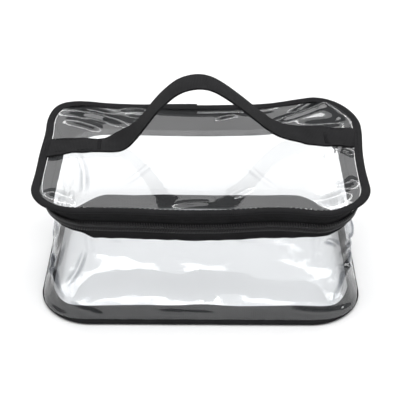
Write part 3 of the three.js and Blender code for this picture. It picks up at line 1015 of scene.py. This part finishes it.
# ---------------------------------------------------------------- the slider and its pull

SLIDER_Y = 31
BRIDGE_REACH = 7.4
LINK_RADIUS = 1.55


def side_frame(y, height):
    """A place on the right side's zip band, and axes: out of the band, along the bag, and up the band."""
    out = Vector((math.cos(BAND_LEAN), 0, -math.sin(BAND_LEAN)))
    up = Vector((math.sin(BAND_LEAN), 0, math.cos(BAND_LEAN)))
    origin = Vector(sway(np.array([float(tub_outline(height)[0]), y, height])).tolist())
    return origin, out, Vector((0, 1, 0)), up


def flat_plate(name, outlines, thickness, bevel, material):
    """A plate with rounded edges from its outline and any holes, in X and Y, about its mid-thickness."""
    curve = bpy.data.curves.new(name, "CURVE")
    curve.dimensions = "2D"
    curve.fill_mode = "BOTH"
    curve.extrude = (thickness / 2 - bevel) * MM
    curve.bevel_depth = bevel * MM
    curve.bevel_resolution = 3
    curve.offset = -bevel * MM
    for outline in outlines:
        line = curve.splines.new("POLY")
        line.points.add(len(outline) - 1)
        for point, (x, y) in zip(line.points, outline):
            point.co = (x * MM, y * MM, 0, 1)
        line.use_cyclic_u = True
    drawn = bpy.data.objects.new(name, curve)
    bpy.context.scene.collection.objects.link(drawn)
    bpy.context.view_layer.update()
    mesh = bpy.data.meshes.new_from_object(drawn.evaluated_get(bpy.context.evaluated_depsgraph_get()))
    bpy.data.objects.remove(drawn)
    mesh.name = name
    mesh.materials.clear()
    mesh.materials.append(material)
    mesh.shade_smooth()
    mesh.set_sharp_from_angle(angle=math.radians(40))
    plate = bpy.data.objects.new(name, mesh)
    bpy.context.scene.collection.objects.link(plate)
    return plate


def stand(thing, origin, x_axis, y_axis):
    """Sets an object's own X and Y axes along two directions, with its origin at a point in millimetres."""
    z_axis = x_axis.cross(y_axis)
    for row in range(3):
        thing.matrix_world[row][0] = x_axis[row]
        thing.matrix_world[row][1] = y_axis[row]
        thing.matrix_world[row][2] = z_axis[row]
        thing.matrix_world[row][3] = origin[row] * MM
    return thing


def rounded_outline(half_x, half_y, corner, nose=0.0):
    """A rounded rectangle, whose +X end can be drawn out to a nose."""
    course = lap(np.arange(64) / 64)
    x = (half_x - corner) * course.share_x + corner * course.cos
    y = (half_y - corner) * course.share_y + corner * course.sin
    taper = 1 - nose * smooth(x / half_x)
    return np.concatenate([x, y * taper], axis=1).tolist()


def circle(radius, centre_x, centre_y=0.0):
    angles = np.linspace(0, 2 * math.pi, 24, endpoint=False)
    x = centre_x + radius * np.cos(angles)
    y = centre_y + radius * np.sin(angles)
    return np.stack([x, y], axis=1).tolist()


def build_slider():
    origin, out, rear, up = side_frame(SLIDER_Y, ZIP_SPLIT)
    plates = {"slider_front_plate": 4.35, "slider_back_plate": -1.2}
    for name, distance in plates.items():
        plate = flat_plate(name, [rounded_outline(5.5, 4.3, 2.2, 0.3)], 1.0, 0.3, METAL)
        stand(plate, origin + out * distance, rear, up)
        finish(plate, "slider", "slider_metal", "slider_body")
    for name, side in (("slider_upper_flange", 1), ("slider_lower_flange", -1)):
        flange = flat_plate(name, [rounded_outline(3.9, 0.7, 0.5)], 0.8, 0.25, METAL)
        stand(flange, origin + out * 3.6 + up * side * 3.9, rear, out)
        finish(flange, "slider", "slider_metal")
    post = flat_plate("slider_post", [rounded_outline(2.0, 2.4, 0.3)], 0.6, 0.15, METAL)
    stand(post, origin + out * 1.9, rear, out)
    finish(post, "slider", "slider_metal")
    half_arch = [(4.0, -4.0), (6.0, -4.0), (7.2, -3.3), (BRIDGE_REACH, -1.8)]
    arch = half_arch + [(reach, -along) for reach, along in half_arch[::-1]]
    line = [origin + out * reach + rear * along for reach, along in spline(arch, 30)]
    bridge = tube("slider_bridge", [list(point) for point in line], 0.55, METAL, 10)
    finish(bridge, "slider", "slider_metal")


def build_pull():
    origin, out = side_frame(SLIDER_Y, ZIP_SPLIT)[:2]
    pivot = origin + out * BRIDGE_REACH
    angles = np.linspace(0, 2 * math.pi, 40, endpoint=False)
    drop = np.where(np.sin(angles) < 0, 5.0, 0.0)
    line = [
        (pivot.x + LINK_RADIUS * math.cos(angle), pivot.y, pivot.z + LINK_RADIUS * math.sin(angle) - lower)
        for angle, lower in zip(angles, drop)
    ]
    link = tube("pull_link_wire", line, 0.48, METAL, 10, closed=True)
    finish(link, "pull", "slider_metal", "pull_link")
    outline = [(-4.3, -2.2), (-4.3, 2.2), (-4.9, 2.6), (-16, 3.1), (-23.6, 3.5)]
    tip = [(-23.5 - 3.5 * math.sin(a), 3.5 * math.cos(a)) for a in np.linspace(0, math.pi, 17)[1:-1]]
    outline = outline + tip + [(-23.6, -3.5), (-16, -3.1), (-4.9, -2.6)]
    tag = flat_plate("pull_tag", [outline, circle(1.1, -6.5)], 1.3, 0.35, METAL)
    stand(tag, pivot, Vector((0, 0, 1)), Vector((0, 1, 0)))
    finish(tag, "pull", "slider_metal", "pull_tab")
    inset = flat_plate("pull_tag_inset", [rounded_outline(6.2, 2.1, 2.0)], 1.5, 0.25, METAL)
    stand(inset, pivot - Vector((0, 0, 17.2)), Vector((0, 0, 1)), Vector((0, 1, 0)))
    finish(inset, "pull", "slider_metal")


def build_stops():
    """Crimped metal stops at the ends of the coils."""
    middle = 0.7 + 2.9 / 2
    stops = [
        ("zip_top_stop_lower", 1, ZIP_SPLIT - middle, 1.45, "tub"),
        ("zip_top_stop_upper", 1, ZIP_SPLIT + middle, 1.45, "lid"),
        ("zip_bottom_stop", -1, ZIP_SPLIT, 3.6, "tub"),
    ]
    for node, side, height, half_tall, body in stops:
        origin, out, rear, up = side_frame(ZIP_END_Y + 1.55, height)
        if side < 0:
            origin, out, up = (Vector((-v.x, v.y, v.z)) for v in (origin, out, up))
        stop = flat_plate(f"{node}_crimp", [rounded_outline(1.2, half_tall, 0.6)], 1.9, 0.45, METAL)
        stand(stop, origin + out * 2.4, rear * side, up)
        finish(stop, body, "slider_metal", node)


# ---------------------------------------------------------------- camera, floor and light


def aim(thing, place, target):
    thing.location = place
    thing.rotation_euler = (Vector(target) - Vector(place)).to_track_quat("-Z", "Y").to_euler()


def add_camera():
    data = bpy.data.cameras.new("camera")
    data.lens = 90.81
    data.sensor_width = 36
    camera = bpy.data.objects.new("camera", data)
    bpy.context.scene.collection.objects.link(camera)
    elevation = math.radians(34.3)
    yaw = math.radians(0.4)
    level = math.cos(elevation)
    back = Vector((math.sin(yaw) * level, -math.cos(yaw) * level, math.sin(elevation)))
    target = Vector((-0.0006, 0, 0.0529))
    aim(camera, target + back * 0.7065, target)
    bpy.context.scene.camera = camera


def add_softbox(name, place, target, width, height, power):
    data = bpy.data.lights.new(name, "AREA")
    data.shape = "RECTANGLE"
    data.size = width
    data.size_y = height
    data.energy = power
    lamp = bpy.data.objects.new(name, data)
    bpy.context.scene.collection.objects.link(lamp)
    aim(lamp, place, target)


def add_floor():
    mesh = bpy.data.meshes.new("floor")
    reach = 4.0
    corners = [(-reach, -reach, 0), (reach, -reach, 0), (reach, reach, 0), (-reach, reach, 0)]
    mesh.from_pydata(corners, [], [(0, 1, 2, 3)])
    nodes = Nodes("floor_white")
    paint = nodes.add("ShaderNodeBsdfDiffuse", Color=(0.9, 0.9, 0.9, 1))
    mesh.materials.append(nodes.output(paint.outputs[0]))
    floor = bpy.data.objects.new("floor", mesh)
    floor.location.z = -0.0003
    bpy.context.scene.collection.objects.link(floor)


def add_world():
    world = bpy.data.worlds.new("studio")
    bpy.context.scene.world = world
    world.use_nodes = True
    background = world.node_tree.nodes["Background"]
    background.inputs["Color"].default_value = (0.96, 0.98, 1, 1)
    background.inputs["Strength"].default_value = 0.14


def add_lights():
    middle = (0, 0, 0.05)
    add_softbox("rear_softbox", (0, 1.22, 1.08), middle, 2.2, 0.66, 6)
    add_softbox("rear_strip", (0, 0.94, 0.80), middle, 1.8, 0.05, 1.7)
    add_softbox("top_softbox", (0, -0.1, 1.5), middle, 1.8, 1.4, 27)
    add_softbox("left_strip", (-1.1, -0.25, 0.7), middle, 0.2, 0.9, 2.6)
    add_softbox("right_strip", (1.1, -0.15, 0.75), middle, 0.2, 0.9, 2.6)
    add_softbox("front_fill", (0.2, -1.1, 1.35), middle, 1.0, 0.6, 3)


# ---------------------------------------------------------------- putting it together

build_wall()
build_base()
build_base_binding()
build_zip()
build_hinge_band()
build_lid_sheet()
build_lid_binding()
build_handle()
build_slider()
build_pull()
build_stops()
add_camera()
add_floor()
add_world()
add_lights()
bpy.context.scene.view_settings.view_transform = "Standard"
